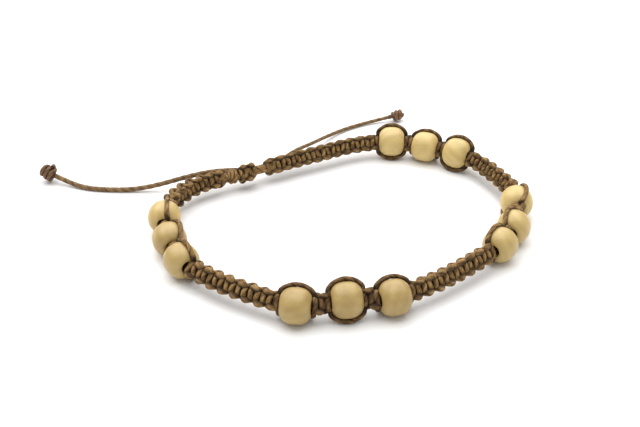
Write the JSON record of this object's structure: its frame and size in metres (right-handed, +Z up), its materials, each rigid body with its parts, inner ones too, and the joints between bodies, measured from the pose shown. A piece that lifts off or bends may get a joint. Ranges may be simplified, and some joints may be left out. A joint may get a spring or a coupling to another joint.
{
  "type": "wooden bead anklet",
  "caption": "Macrame anklet of waxed cord: a closed loop of square knots with groups of round wooden beads, a sliding knot and loose knotted tails.",
  "frame": {"origin": "on the surface the anklet lies on, below the middle of the loop measured without its loose tails", "axes": "+Z up, +X to the right and +Y away from the front, as the anklet lies"},
  "size_m": [0.1268, 0.098, 0.0092],
  "materials": {
    "bead_wood": "smooth unvarnished pale wood with a soft satin polish",
    "macrame_cord": "waxed cord, slightly glossy on its turns",
    "core_cord": "waxed cord",
    "closure_cord": "waxed cord",
    "tail_cord": "waxed cord with visible plies"
  },
  "bodies": {
    "root": {"band_back": "macrame_cord", "band_back_left": "macrame_cord", "band_front_left": "macrame_cord", "band_front_right": "macrame_cord", "band_right_back": "macrame_cord", "bead_back_1": "bead_wood", "bead_back_2": "bead_wood", "bead_back_3": "bead_wood", "bead_cords_back": "macrame_cord", "bead_cords_front": "macrame_cord", "bead_cords_left": "macrame_cord", "bead_cords_right": "macrame_cord", "bead_front_1": "bead_wood", "bead_front_2": "bead_wood", "bead_front_3": "bead_wood", "bead_left_1": "bead_wood", "bead_left_2": "bead_wood", "bead_left_3": "bead_wood", "bead_right_1": "bead_wood", "bead_right_2": "bead_wood", "bead_right_3": "bead_wood", "closure_cords": "closure_cord", "closure_knot": "closure_cord", "closure_wrap": "closure_cord", "core_cord": "core_cord", "tail_knot_left": "tail_cord", "tail_knot_right": "tail_cord", "tail_left": "tail_cord", "tail_right": "tail_cord"}
  },
  "joints": []
}
